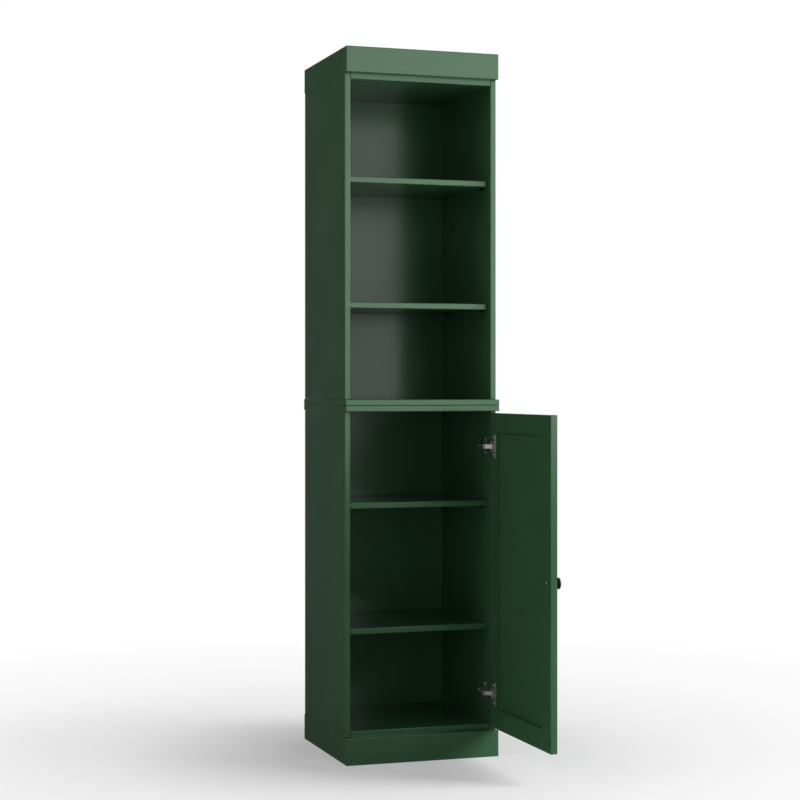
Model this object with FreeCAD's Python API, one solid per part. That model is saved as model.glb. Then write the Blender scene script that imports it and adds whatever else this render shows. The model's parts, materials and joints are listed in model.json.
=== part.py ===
import FreeCAD, Part
import math
import os

from FreeCAD import Vector

# Tall cabinet in two stacked cases, in millimetres, +Z up and the front towards -Y.
# The origin is on the floor, at the middle of the case's back.
# The door and the hinge links are drawn closed, then swung to the angle at which the door stands open.

# Whole cabinet
TOTAL_HEIGHT = 1800.0
LOWER_HEIGHT = 900.0
CASE_WIDTH = 406.0
CASE_DEPTH = 372.0
BOARD = 15.0
EDGE_ROUND = 2.0

# Middle band, cornice and plinth
BAND_FRONT = 19.0
BAND_SIDE = 2.5
TRIM_BOARD = 18.0
TRIM_FRONT = 17.0
TRIM_SIDE = 1.0
CORNICE_HEIGHT = 65.0
PLINTH_HEIGHT = 68.0
BLOCK_SIZE = 28.0
CORNICE_BLOCK_HEIGHT = 40.0
PLINTH_BLOCK_HEIGHT = 50.0

# Back panels and their nails
BACK_THICKNESS = 3.0
BACK_RECESS = 1.0
RABBET_WIDTH = 8.0
BACK_PLAY = 0.5
NAIL_RADIUS = 0.7
NAIL_LENGTH = 16.0
NAIL_HEAD_RADIUS = 1.6
NAIL_HEAD_HEIGHT = 0.6
NAIL_END_INSET = 40.0
NAIL_ROWS = 6
NAIL_COLUMNS = 4

# Shelves and shelf pins; a shelf's share is the height of its underside in the case's clear height
SHELF_SETBACK = 21.0
SHELF_PLAY = 0.5
LOWER_SHELF_SHARES = (0.2993, 0.6945)
UPPER_SHELF_SHARES = (0.2870, 0.6807)
PIN_RADIUS = 2.5
PIN_SEAT = 8.0
PIN_REACH = 9.0
PIN_TAB_WIDTH = 8.0
PIN_FRONT_INSET = 58.0
PIN_BACK_INSET = 52.0

# Joints between the boards
DOWEL_RADIUS = 4.0
DOWEL_LENGTH = 30.0
DOWEL_SEAT_SHARE = 0.66
CASE_SCREW_RADIUS = 2.6
CASE_SCREW_LENGTH = 46.0
CASE_SCREW_HEAD_RADIUS = 4.6
CASE_SCREW_HEAD_HEIGHT = 3.0
CAM_BOLT_RADIUS = 3.0
CAM_BOLT_SEAT_SHARE = 0.7
CAM_DISTANCE = 24.0
CAM_DISC_RADIUS = 7.5
CAM_DISC_DEPTH = 12.0
STACK_DOWEL_LENGTH = 20.0
DOWEL_DEPTH_SHARES = (0.30, 0.70)
LOWER_SCREW_DEPTH_SHARES = (0.12, 0.88)
UPPER_SCREW_DEPTH_SHARES = (0.20, 0.80)
CAM_DEPTH_SHARES = (0.15, 0.85)
STACK_DEPTH_SHARES = (0.25, 0.75)
STACK_WIDTH_SHARES = (0.20, 0.80)

# Wood screws of the trims, joining plates and wall brackets
BLOCK_SCREW_RADIUS = 2.0
BLOCK_SCREW_HEAD_RADIUS = 3.8
BLOCK_SCREW_BITE = 10.0
SMALL_SCREW_RADIUS = 1.6
SMALL_SCREW_LENGTH = 13.0
SMALL_SCREW_HEAD_RADIUS = 3.2
SCREW_HEAD_HEIGHT = 1.6
JOIN_THICKNESS = 1.5
JOIN_WIDTH = 40.0
JOIN_HEIGHT = 27.0
JOIN_SCREW_SPREAD = 22.0
JOIN_WIDTH_SHARES = (0.22, 0.78)
BRACKET_THICKNESS = 2.0
BRACKET_WIDTH = 30.0
BRACKET_LEG = 42.0
BRACKET_RISE = 40.0
BRACKET_WIDTH_SHARES = (0.20, 0.80)
BRACKET_SCREW_SHARES = (0.35, 0.75)
WALL_HOLE_RADIUS = 2.75
WALL_HOLE_HEIGHT = 26.0

# Door: frame and panel
DOOR_THICKNESS = 18.0
DOOR_GAP = 1.5
DOOR_REVEAL = 2.0
DOOR_HIGH_GAP = 4.5
DOOR_LOW_GAP = 8.5
STILE_WIDTH = 55.0
TOP_RAIL = 49.0
BOTTOM_RAIL = 52.0
PANEL_THICKNESS = 5.0
PANEL_BACK_STEP = 6.5
PANEL_PLAY = 0.1
GROOVE_DEPTH = 8.0
GROOVE_PLAY = 1.0
BUMPER_RADIUS = 4.0
BUMPER_THICKNESS = 1.3
BUMPER_INSET = 24.0

# Door knob
KNOB_RADIUS = 14.0
KNOB_REACH = 18.0
KNOB_INSET = 27.0
KNOB_FOOT_SHARE = 0.58
KNOB_NECK_SHARE = 0.42
KNOB_NECK_REACH_SHARE = 0.36
KNOB_RIM_REACH_SHARES = (0.66, 0.82)
KNOB_SCREW_RADIUS = 2.0
KNOB_SCREW_HEAD_RADIUS = 4.0
KNOB_SCREW_GRIP = 9.0

# Concealed hinges; a pin's inset is from the door's hinge edge, its depth from the door's inner face
HINGE_END = 86.0
ARM_PIN_INSET = 33.8
ARM_PIN_DEPTH = 5.6
CUP_PIN_INSET = 12.2
CUP_PIN_DEPTH = 3.4
HINGE_PIN_RADIUS = 1.25
HINGE_PIN_PLAY = 0.05
CUP_EDGE = 5.0
CUP_RADIUS = 17.5
CUP_DEPTH = 11.5
CUP_WALL = 1.0
CUP_NOTCH_DEPTH = 6.0
FLANGE_THICKNESS = 1.6
FLANGE_WIDTH = 20.0
FLANGE_LENGTH = 60.0
CUP_SCREW_OFFSET = 9.5
CUP_SCREW_SPREAD = 45.0
PLATE_SETBACK = 37.0
PLATE_SCREW_SPREAD = 32.0
WING_THICKNESS = 2.0
WING_WIDTH = 13.0
WING_LENGTH = 46.0
RIDGE_WIDTH = 11.0
RIDGE_FRONT = 18.0
RIDGE_BACK = 60.0
ARM_STANDOFF = 6.0
ARM_THICKNESS = 6.0
ARM_WIDTH = 12.0
ARM_BACK = 62.0
ARM_CRANK_FRONT = 3.0
ARM_CRANK_BACK = 15.0
ARM_SCREW_SETBACKS = (26.0, 50.0)
KNUCKLE_RADIUS = 2.8
KNUCKLE_WIDTH = 6.6
LINK_CHEEK = 1.6
LINK_PLAY = 0.3
LINK_WIDTH = 4.0
LINK_WEB = 1.0
OPEN_ANGLE = 90.0
LINK_TURN_SHARE = -1 / 3

# Fits
FIT_CLEARANCE = 0.05
TOUCH = 1e-6

# Places that follow from the sizes
LEFT = -CASE_WIDTH / 2
RIGHT = CASE_WIDTH / 2
FRONT = -CASE_DEPTH
BACK = 0
INNER_LEFT = LEFT + BOARD
INNER_RIGHT = RIGHT - BOARD
BACK_FACE = BACK - BACK_RECESS - BACK_THICKNESS
LOWER_FLOOR = PLINTH_HEIGHT + BOARD
BAND_UNDER = LOWER_HEIGHT - BOARD
BAND_OVER = LOWER_HEIGHT + BOARD
CASE_TOP = TOTAL_HEIGHT - CORNICE_HEIGHT
CEILING = CASE_TOP - BOARD
TRIM_LEFT = LEFT - TRIM_SIDE
TRIM_RIGHT = RIGHT + TRIM_SIDE
TRIM_FACE = FRONT - TRIM_FRONT
TRIM_BEHIND = TRIM_FACE + TRIM_BOARD
DOOR_LEFT = LEFT + DOOR_REVEAL
DOOR_RIGHT = RIGHT - DOOR_REVEAL
DOOR_BACK = FRONT - DOOR_GAP
DOOR_FACE = DOOR_BACK - DOOR_THICKNESS
DOOR_LOW = PLINTH_HEIGHT + DOOR_LOW_GAP
DOOR_HIGH = BAND_UNDER - DOOR_HIGH_GAP
PANEL_BACK = DOOR_BACK - PANEL_BACK_STEP
PANEL_FRONT = PANEL_BACK - PANEL_THICKNESS
HINGE_LEVELS = {"upper": DOOR_HIGH - HINGE_END, "lower": DOOR_LOW + HINGE_END}
CUP_INSET = CUP_EDGE + CUP_RADIUS
ARM_PIN = Vector(DOOR_RIGHT - ARM_PIN_INSET, DOOR_BACK - ARM_PIN_DEPTH, 0)
CUP_PIN = Vector(DOOR_RIGHT - CUP_PIN_INSET, DOOR_BACK - CUP_PIN_DEPTH, 0)
LINK_CHEEK_INSIDE = KNUCKLE_WIDTH / 2 + LINK_PLAY
LINK_CHEEK_OUTSIDE = LINK_CHEEK_INSIDE + LINK_CHEEK

TO_RIGHT = Vector(1, 0, 0)
TO_BACK = Vector(0, 1, 0)
UP = Vector(0, 0, 1)


def block(x_span, y_span, z_span):
    """Box between three (low, high) spans."""
    corner = Vector(x_span[0], y_span[0], z_span[0])
    return Part.makeBox(x_span[1] - x_span[0], y_span[1] - y_span[0], z_span[1] - z_span[0], corner)


def about(middle, size):
    """Span of a size about its middle."""
    return (middle - size / 2, middle + size / 2)


def ease(solid, *names):
    """Round a box's edges; an edge is named by one or two of the faces that it lies on."""
    box = solid.BoundBox
    planes = {
        "left": (0, box.XMin), "right": (0, box.XMax), "front": (1, box.YMin),
        "back": (1, box.YMax), "bottom": (2, box.ZMin), "top": (2, box.ZMax),
    }

    def lies_on(edge, face):
        axis, place = planes[face]
        return all(abs(vertex.Point[axis] - place) < TOUCH for vertex in edge.Vertexes)

    chosen = []
    for edge in solid.Edges:
        if any(all(lies_on(edge, face) for face in name.split()) for name in names):
            chosen.append(edge)
    return solid.makeFillet(EDGE_ROUND, chosen)


def rod(point, axis, stages, grow=0):
    """Round stages end to end along an axis, each (length, radius), widened for a hole."""
    pieces = []
    start = point
    for length, radius in stages:
        pieces.append(Part.makeCylinder(radius + grow, length, start, axis))
        start = start + axis * length
    if grow:
        last_length, last_radius = stages[-1]
        pieces.append(Part.makeCylinder(last_radius + grow, grow, start, axis))
    solid = pieces[0]
    if len(pieces) > 1:
        solid = solid.fuse(pieces[1:]).removeSplitter()
    return solid


def fit(holes, point, axis, *stages):
    """One fastener; the hole that it sits in joins the holes to be drilled."""
    holes.append(rod(point, axis, stages, FIT_CLEARANCE))
    return rod(point, axis, stages)


def drilled(solid, holes):
    """The solid with each of the holes that reaches it."""
    reaching = [hole for hole in holes if hole.BoundBox.intersect(solid.BoundBox)]
    if not reaching:
        return solid
    return solid.cut(reaching)


def depth_place(share):
    """Place between the case's front and back."""
    return FRONT + share * CASE_DEPTH


def width_place(share):
    """Place between the case's left and right."""
    return LEFT + share * CASE_WIDTH


def sides():
    """The inner face of each case side, and the direction from it into the case."""
    return ((INNER_LEFT, TO_RIGHT), (INNER_RIGHT, -TO_RIGHT))


def case_dowels(holes):
    """Dowels between the boards: upright under and over the band, level at the floor and the top."""
    seat = BOARD * DOWEL_SEAT_SHARE
    made = []
    for face, inward in sides():
        middle = face - inward.x * BOARD / 2
        for share in DOWEL_DEPTH_SHARES:
            y = depth_place(share)
            low = Vector(middle, y, BAND_UNDER + seat - DOWEL_LENGTH)
            high = Vector(middle, y, BAND_OVER - seat)
            made.append(fit(holes, low, UP, (DOWEL_LENGTH, DOWEL_RADIUS)))
            made.append(fit(holes, high, UP, (DOWEL_LENGTH, DOWEL_RADIUS)))
            for base in (PLINTH_HEIGHT, CEILING):
                start = Vector(face - inward.x * seat, y, base + BOARD / 2)
                made.append(fit(holes, start, inward, (DOWEL_LENGTH, DOWEL_RADIUS)))
    return made


def case_screws(holes):
    """Connecting screws through the two band boards into the ends of the sides."""
    head = (CASE_SCREW_HEAD_HEIGHT, CASE_SCREW_HEAD_RADIUS)
    shank = (CASE_SCREW_LENGTH, CASE_SCREW_RADIUS)
    made = []
    for face, inward in sides():
        middle = face - inward.x * BOARD / 2
        for share in LOWER_SCREW_DEPTH_SHARES:
            made.append(fit(holes, Vector(middle, depth_place(share), LOWER_HEIGHT), -UP, head, shank))
        for share in UPPER_SCREW_DEPTH_SHARES:
            made.append(fit(holes, Vector(middle, depth_place(share), LOWER_HEIGHT), UP, head, shank))
    return made


def cam_fittings(holes):
    """Bolts in the sides and the discs that draw the floor board and the top panel onto them."""
    seat = BOARD * CAM_BOLT_SEAT_SHARE
    bolts = []
    discs = []
    for face, inward in sides():
        for share in CAM_DEPTH_SHARES:
            y = depth_place(share)
            for base, mouth, down in ((PLINTH_HEIGHT, PLINTH_HEIGHT, UP), (CEILING, CASE_TOP, -UP)):
                start = Vector(face - inward.x * seat, y, base + BOARD / 2)
                bolt_holes = []
                bolts.append(fit(bolt_holes, start, inward, (seat + CAM_DISTANCE, CAM_BOLT_RADIUS)))
                centre = Vector(face + inward.x * CAM_DISTANCE, y, mouth)
                disc = fit(holes, centre, down, (CAM_DISC_DEPTH, CAM_DISC_RADIUS))
                discs.append(drilled(disc, bolt_holes))
                holes.extend(bolt_holes)
    return bolts, discs


def stacking_dowels(holes):
    """Dowels that locate the upper case on the lower one."""
    made = []
    for width_share in STACK_WIDTH_SHARES:
        for depth_share in STACK_DEPTH_SHARES:
            low = Vector(width_place(width_share), depth_place(depth_share), LOWER_HEIGHT)
            start = low - UP * (STACK_DOWEL_LENGTH / 2)
            made.append(fit(holes, start, UP, (STACK_DOWEL_LENGTH, DOWEL_RADIUS)))
    return made


def joining_plates(holes):
    """Steel plates let in across the seam at the back, and their screws."""
    head = (SCREW_HEAD_HEIGHT, SMALL_SCREW_HEAD_RADIUS)
    shank = (JOIN_THICKNESS + SMALL_SCREW_LENGTH, SMALL_SCREW_RADIUS)
    seat = BACK - SCREW_HEAD_HEIGHT - JOIN_THICKNESS
    plates = []
    screws = []
    for share in JOIN_WIDTH_SHARES:
        x = width_place(share)
        x_span = about(x, JOIN_WIDTH)
        z_span = about(LOWER_HEIGHT, JOIN_HEIGHT)
        plate = block(x_span, (seat, seat + JOIN_THICKNESS), z_span)
        own = []
        for screw_x in about(x, JOIN_SCREW_SPREAD):
            for screw_z in about(LOWER_HEIGHT, BOARD):
                screws.append(fit(own, Vector(screw_x, BACK, screw_z), -TO_BACK, head, shank))
        plates.append(drilled(plate, own))
        holes.extend(own)
        holes.append(block(x_span, (seat, BACK), z_span))
    return plates, screws


def wall_bracket(holes, x):
    """Steel angle on the case's top, with a hole for a wall screw, and its two wood screws."""
    z = CASE_TOP
    leg = block(about(x, BRACKET_WIDTH), (BACK - BRACKET_LEG, BACK), (z, z + BRACKET_THICKNESS))
    rise = block(about(x, BRACKET_WIDTH), (BACK - BRACKET_THICKNESS, BACK), (z, z + BRACKET_RISE))
    angle = leg.fuse(rise).removeSplitter()
    wall_hole = rod(Vector(x, BACK - BRACKET_LEG, z + WALL_HOLE_HEIGHT), TO_BACK,
                    ((BRACKET_LEG + BRACKET_THICKNESS, WALL_HOLE_RADIUS),))
    head = (SCREW_HEAD_HEIGHT, SMALL_SCREW_HEAD_RADIUS)
    shank = (SMALL_SCREW_LENGTH, SMALL_SCREW_RADIUS)
    screws = []
    for share in BRACKET_SCREW_SHARES:
        start = Vector(x, BACK - share * BRACKET_LEG, z + BRACKET_THICKNESS + SCREW_HEAD_HEIGHT)
        screws.append(fit(holes, start, -UP, head, shank))
    return drilled(angle, holes).cut(wall_hole), screws


def corner_blocks(holes, z_span, y_spans, bite_up):
    """Four glue blocks inside a trim, each with the screw that holds the trim to the case."""
    head = (SCREW_HEAD_HEIGHT, BLOCK_SCREW_HEAD_RADIUS)
    shank = (z_span[1] - z_span[0] + BLOCK_SCREW_BITE, BLOCK_SCREW_RADIUS)
    left = TRIM_LEFT + TRIM_BOARD
    right = TRIM_RIGHT - TRIM_BOARD
    blocks = []
    screws = []
    for x_span in ((left, left + BLOCK_SIZE), (right - BLOCK_SIZE, right)):
        for y_span in y_spans:
            x = sum(x_span) / 2
            y = sum(y_span) / 2
            start = Vector(x, y, z_span[0] - SCREW_HEAD_HEIGHT)
            if not bite_up:
                start = Vector(x, y, z_span[1] + SCREW_HEAD_HEIGHT)
            own = []
            screws.append(fit(own, start, UP if bite_up else -UP, head, shank))
            blocks.append(drilled(block(x_span, y_span, z_span), own))
            holes.extend(own)
    return blocks, screws


def back_nails(holes, z_span, board_level):
    """Nails round a back panel: up both sides, and along the board behind which it ends."""
    head = (NAIL_HEAD_HEIGHT, NAIL_HEAD_RADIUS)
    shank = (NAIL_LENGTH, NAIL_RADIUS)
    y = BACK - BACK_RECESS + NAIL_HEAD_HEIGHT
    places = []
    low = z_span[0] + NAIL_END_INSET
    step = (z_span[1] - NAIL_END_INSET - low) / (NAIL_ROWS - 1)
    for x in (INNER_LEFT - RABBET_WIDTH / 2, INNER_RIGHT + RABBET_WIDTH / 2):
        for row in range(NAIL_ROWS):
            places.append((x, low + row * step))
    column_step = (INNER_RIGHT - INNER_LEFT) / (NAIL_COLUMNS + 1)
    for column in range(NAIL_COLUMNS):
        places.append((INNER_LEFT + (column + 1) * column_step, board_level))
    return [fit(holes, Vector(x, y, z), -TO_BACK, head, shank) for x, z in places]


def shelf_pins(holes, under):
    """Four pins under a shelf: a peg in the side, and a flat tab that carries the shelf."""
    made = []
    for face, inward in sides():
        for y in (FRONT + PIN_FRONT_INSET, BACK - PIN_BACK_INSET):
            start = Vector(face - inward.x * PIN_SEAT, y, under - PIN_RADIUS)
            peg = fit(holes, start, inward, (PIN_SEAT + PIN_REACH, PIN_RADIUS))
            x_span = sorted((face, face + inward.x * PIN_REACH))
            tab = block(x_span, about(y, PIN_TAB_WIDTH), (under - PIN_RADIUS, under))
            made.append(peg.fuse(tab).removeSplitter())
    return made


def case_side(face, inward, z_span, holes):
    """A case side with its rabbet for the back panel."""
    outer = face - inward.x * BOARD
    name = "left" if inward.x > 0 else "right"
    board = ease(block(sorted((outer, face)), (FRONT, BACK), z_span), "front", name)
    rabbet = block(sorted((face, face - inward.x * RABBET_WIDTH)), (BACK_FACE, BACK), z_span)
    return drilled(board.cut(rabbet), holes)


def inner_board(z, open_face, holes):
    """A board between the sides, with its front rounded towards the bay and square against the trim."""
    board = block((INNER_LEFT, INNER_RIGHT), (FRONT, BACK_FACE), (z, z + BOARD))
    return drilled(ease(board, "front left", "front right", "front " + open_face), holes)


def band_board(z, holes):
    """One of the two overhanging boards that meet at the seam."""
    x_span = (LEFT - BAND_SIDE, RIGHT + BAND_SIDE)
    board = block(x_span, (FRONT - BAND_FRONT, BACK), (z, z + BOARD))
    return drilled(ease(board, "front", "left", "right"), holes)


def shelf(under):
    """A loose shelf between the sides."""
    x_span = (INNER_LEFT + SHELF_PLAY, INNER_RIGHT - SHELF_PLAY)
    y_span = (FRONT + SHELF_SETBACK, BACK_FACE - SHELF_PLAY)
    return ease(block(x_span, y_span, (under, under + BOARD)), "front")


def back_panel(z_span, holes):
    """A thin back in the rabbets of the sides."""
    reach = RABBET_WIDTH - BACK_PLAY
    x_span = (INNER_LEFT - reach, INNER_RIGHT + reach)
    panel = block(x_span, (BACK_FACE, BACK_FACE + BACK_THICKNESS), z_span)
    return drilled(panel, holes)


def trim_front(z_span, holes):
    """Front board of the cornice or the plinth."""
    board = block((TRIM_LEFT, TRIM_RIGHT), (TRIM_FACE, TRIM_BEHIND), z_span)
    ends = ("left top", "left bottom", "right top", "right bottom")
    return drilled(ease(board, "front", *ends), holes)


def trim_side(name, z_span, holes):
    """Side board of the cornice or the plinth, behind the front board."""
    x_span = (TRIM_LEFT, TRIM_LEFT + TRIM_BOARD)
    if name == "right":
        x_span = (TRIM_RIGHT - TRIM_BOARD, TRIM_RIGHT)
    board = block(x_span, (TRIM_BEHIND, BACK), z_span)
    return drilled(ease(board, name + " top", name + " bottom"), holes)


def plinth_back(z_span, holes):
    """Back board of the plinth, between its sides."""
    x_span = (TRIM_LEFT + TRIM_BOARD, TRIM_RIGHT - TRIM_BOARD)
    return drilled(block(x_span, (BACK - TRIM_BOARD, BACK), z_span), holes)


def door_stile(name, holes):
    """Upright of the door frame, grooved for the panel and the rails' tongues."""
    x_span = (DOOR_LEFT, DOOR_LEFT + STILE_WIDTH)
    groove_x = (DOOR_LEFT + STILE_WIDTH - GROOVE_DEPTH, DOOR_LEFT + STILE_WIDTH)
    if name == "right":
        x_span = (DOOR_RIGHT - STILE_WIDTH, DOOR_RIGHT)
        groove_x = (DOOR_RIGHT - STILE_WIDTH, DOOR_RIGHT - STILE_WIDTH + GROOVE_DEPTH)
    z_span = (DOOR_LOW, DOOR_HIGH)
    edges = [name + " " + other for other in ("front", "back", "top", "bottom")]
    edges += [end + " " + face for end in ("top", "bottom") for face in ("front", "back")]
    stile = ease(block(x_span, (DOOR_FACE, DOOR_BACK), z_span), *edges)
    return drilled(stile.cut(block(groove_x, (PANEL_FRONT, PANEL_BACK), z_span)), holes)


def door_rail(name):
    """Cross piece of the door frame, with a tongue at each end and a groove for the panel."""
    x_span = (DOOR_LEFT + STILE_WIDTH, DOOR_RIGHT - STILE_WIDTH)
    tongue = GROOVE_DEPTH - GROOVE_PLAY
    tongue_y = (PANEL_FRONT + PANEL_PLAY, PANEL_BACK - PANEL_PLAY)
    if name == "top":
        z_span = (DOOR_HIGH - TOP_RAIL, DOOR_HIGH)
        groove_z = (z_span[0], z_span[0] + GROOVE_DEPTH)
        tongue_z = (groove_z[1], z_span[1] - EDGE_ROUND)
    else:
        z_span = (DOOR_LOW, DOOR_LOW + BOTTOM_RAIL)
        groove_z = (z_span[1] - GROOVE_DEPTH, z_span[1])
        tongue_z = (z_span[0] + EDGE_ROUND, groove_z[0])
    rail = ease(block(x_span, (DOOR_FACE, DOOR_BACK), z_span), name + " front", name + " back")
    rail = rail.cut(block(x_span, (PANEL_FRONT, PANEL_BACK), groove_z))
    tongues = block((x_span[0] - tongue, x_span[1] + tongue), tongue_y, tongue_z)
    return rail.fuse(tongues).removeSplitter()


def door_panel():
    """Flat panel held in the grooves of the frame."""
    reach = GROOVE_DEPTH - GROOVE_PLAY
    x_span = (DOOR_LEFT + STILE_WIDTH - reach, DOOR_RIGHT - STILE_WIDTH + reach)
    z_span = (DOOR_LOW + BOTTOM_RAIL - reach, DOOR_HIGH - TOP_RAIL + reach)
    return block(x_span, (PANEL_FRONT + PANEL_PLAY, PANEL_BACK - PANEL_PLAY), z_span)


def knob_centre():
    """Middle of the knob's foot, half-way up the latch stile."""
    return Vector(DOOR_LEFT + KNOB_INSET, DOOR_FACE, (DOOR_LOW + DOOR_HIGH) / 2)


def knob(holes):
    """Turned knob: a foot that narrows to a neck, then a flared cap with a low crown."""
    foot = KNOB_RADIUS * KNOB_FOOT_SHARE
    neck = KNOB_RADIUS * KNOB_NECK_SHARE
    neck_reach = KNOB_REACH * KNOB_NECK_REACH_SHARE
    rim_low, rim_high = [KNOB_REACH * share for share in KNOB_RIM_REACH_SHARES]
    centre = knob_centre()

    def at(radius, reach):
        return centre + TO_RIGHT * radius - TO_BACK * reach

    flare = at((neck * 2 + KNOB_RADIUS) / 3, (neck_reach + rim_low * 2) / 3)
    rise = KNOB_REACH - rim_high
    crown_radius = (KNOB_RADIUS ** 2 + rise ** 2) / (rise * 2)
    half_turn = math.asin(KNOB_RADIUS / crown_radius) / 2
    crown = at(crown_radius * math.sin(half_turn), KNOB_REACH - crown_radius * (1 - math.cos(half_turn)))
    edges = [
        Part.LineSegment(at(0, 0), at(foot, 0)).toShape(),
        Part.LineSegment(at(foot, 0), at(neck, neck_reach)).toShape(),
        Part.Arc(at(neck, neck_reach), flare, at(KNOB_RADIUS, rim_low)).toShape(),
        Part.LineSegment(at(KNOB_RADIUS, rim_low), at(KNOB_RADIUS, rim_high)).toShape(),
        Part.Arc(at(KNOB_RADIUS, rim_high), crown, at(0, KNOB_REACH)).toShape(),
        Part.LineSegment(at(0, KNOB_REACH), at(0, 0)).toShape(),
    ]
    turned = Part.Face(Part.Wire(edges)).revolve(centre, TO_BACK, 360)
    return drilled(turned, holes)


def knob_screw(holes):
    """Machine screw from the inner face through the stile into the knob."""
    start = knob_centre()
    start.y = DOOR_BACK + SCREW_HEAD_HEIGHT
    head = (SCREW_HEAD_HEIGHT, KNOB_SCREW_HEAD_RADIUS)
    shank = (DOOR_THICKNESS + KNOB_SCREW_GRIP, KNOB_SCREW_RADIUS)
    return fit(holes, start, -TO_BACK, head, shank)


def bumpers():
    """Soft dots where the latch stile meets the case's left side."""
    x = LEFT + BOARD / 2
    levels = (DOOR_LOW + BUMPER_INSET, DOOR_HIGH - BUMPER_INSET)
    dot = ((BUMPER_THICKNESS, BUMPER_RADIUS),)
    return [rod(Vector(x, DOOR_BACK, z), TO_BACK, dot) for z in levels]


def hinge_plate(level, holes):
    """Mounting plate on the right side: two wings for its screws and a ridge that carries the arm."""
    y = FRONT + PLATE_SETBACK
    wing_x = (INNER_RIGHT - WING_THICKNESS, INNER_RIGHT)
    wings = block(wing_x, about(y, WING_WIDTH), about(level, WING_LENGTH))
    wings = ease(wings, "front top", "front bottom", "back top", "back bottom")
    ridge_y = (FRONT + RIDGE_FRONT, FRONT + RIDGE_BACK)
    ridge = block((INNER_RIGHT - ARM_STANDOFF, INNER_RIGHT), ridge_y, about(level, RIDGE_WIDTH))
    return drilled(wings.fuse(ridge).removeSplitter(), holes)


def hinge_plate_screws(level, holes):
    """Screws through the plate's wings into the side."""
    head = (SCREW_HEAD_HEIGHT, SMALL_SCREW_HEAD_RADIUS)
    shank = (SMALL_SCREW_LENGTH, SMALL_SCREW_RADIUS)
    x = INNER_RIGHT - WING_THICKNESS - SCREW_HEAD_HEIGHT
    made = []
    for z in about(level, PLATE_SCREW_SPREAD):
        made.append(fit(holes, Vector(x, FRONT + PLATE_SETBACK, z), TO_RIGHT, head, shank))
    return made


def hinge_arm(level, holes):
    """Cranked arm from the plate to the knuckle that reaches into the door's cup."""
    near = INNER_RIGHT - ARM_STANDOFF
    far = near - ARM_THICKNESS
    neck_near = ARM_PIN.x + KNUCKLE_RADIUS
    neck_far = ARM_PIN.x - KNUCKLE_RADIUS
    outline = (
        (near, FRONT + ARM_BACK), (near, FRONT + ARM_CRANK_BACK),
        (neck_near, FRONT + ARM_CRANK_FRONT), (neck_far, FRONT + ARM_CRANK_FRONT),
        (far, FRONT + ARM_CRANK_BACK), (far, FRONT + ARM_BACK),
    )
    low = level - ARM_WIDTH / 2
    points = [Vector(x, y, low) for x, y in outline]
    bar = Part.Face(Part.makePolygon(points + points[:1])).extrude(UP * ARM_WIDTH)
    neck_z = about(level, KNUCKLE_WIDTH)
    neck = block((neck_far, neck_near), (ARM_PIN.y, FRONT + ARM_CRANK_FRONT), neck_z)
    end = Vector(ARM_PIN.x, ARM_PIN.y, neck_z[0])
    knuckle = rod(end, UP, ((KNUCKLE_WIDTH, KNUCKLE_RADIUS),))
    return drilled(bar.fuse([neck, knuckle]).removeSplitter(), holes)


def hinge_arm_screws(level, holes):
    """Fixing and adjusting screws through the arm into the plate's ridge."""
    head = (SCREW_HEAD_HEIGHT, SMALL_SCREW_HEAD_RADIUS)
    shank = (ARM_THICKNESS + ARM_STANDOFF - WING_THICKNESS, SMALL_SCREW_RADIUS)
    x = INNER_RIGHT - ARM_STANDOFF - ARM_THICKNESS - SCREW_HEAD_HEIGHT
    made = []
    for setback in ARM_SCREW_SETBACKS:
        made.append(fit(holes, Vector(x, FRONT + setback, level), TO_RIGHT, head, shank))
    return made


def upright_pin(place, level, length, grow=0):
    """Hinge pin about its level."""
    return rod(place + UP * (level - length / 2), UP, ((length, HINGE_PIN_RADIUS),), grow)


def pin_holes(level):
    """Running holes for both pins of a hinge."""
    length = CUP_RADIUS * 2
    return [upright_pin(place, level, length, HINGE_PIN_PLAY) for place in (ARM_PIN, CUP_PIN)]


def arm_pin(level):
    """Pin through the arm's knuckle and both cheeks of the link."""
    return upright_pin(ARM_PIN, level, LINK_CHEEK_OUTSIDE * 2)


def cup_pin(level):
    """Pin across the cup, with its ends in the cup's wall."""
    offset = CUP_INSET - CUP_PIN_INSET + HINGE_PIN_RADIUS
    half_chord = math.sqrt(CUP_RADIUS ** 2 - offset ** 2)
    return upright_pin(CUP_PIN, level, (half_chord - FIT_CLEARANCE) * 2)


def hinge_link(level):
    """Pressed link: a cheek on each side of the arm's knuckle, a front web and a barrel on the cup's pin."""
    along = (CUP_PIN - ARM_PIN).normalize()
    to_back = UP.cross(along)
    across = to_back * (LINK_WIDTH / 2)
    outline = [ARM_PIN + across, ARM_PIN - across, CUP_PIN - across, CUP_PIN + across]
    web_start = ARM_PIN + along * (KNUCKLE_RADIUS + LINK_PLAY) - across + UP * (level - LINK_CHEEK_INSIDE)
    web_end = CUP_PIN - across + UP * (level - LINK_CHEEK_INSIDE)
    inward = to_back * LINK_WEB
    web_points = [web_start, web_end, web_end + inward, web_start + inward, web_start]
    pieces = [Part.Face(Part.makePolygon(web_points)).extrude(UP * (LINK_CHEEK_INSIDE * 2))]
    for base in (level - LINK_CHEEK_OUTSIDE, level + LINK_CHEEK_INSIDE):
        points = [point + UP * base for point in outline]
        pieces.append(Part.Face(Part.makePolygon(points + points[:1])).extrude(UP * LINK_CHEEK))
        for place in (ARM_PIN, CUP_PIN):
            pieces.append(rod(place + UP * base, UP, ((LINK_CHEEK, KNUCKLE_RADIUS),)))
    barrel = rod(CUP_PIN + UP * (level - LINK_CHEEK_INSIDE), UP, ((LINK_CHEEK_INSIDE * 2, KNUCKLE_RADIUS),))
    return drilled(barrel.fuse(pieces).removeSplitter(), pin_holes(level))


def cup_mouth(level):
    """Middle of the cup's mouth on the door's inner face."""
    return Vector(DOOR_RIGHT - CUP_INSET, DOOR_BACK, level)


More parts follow.
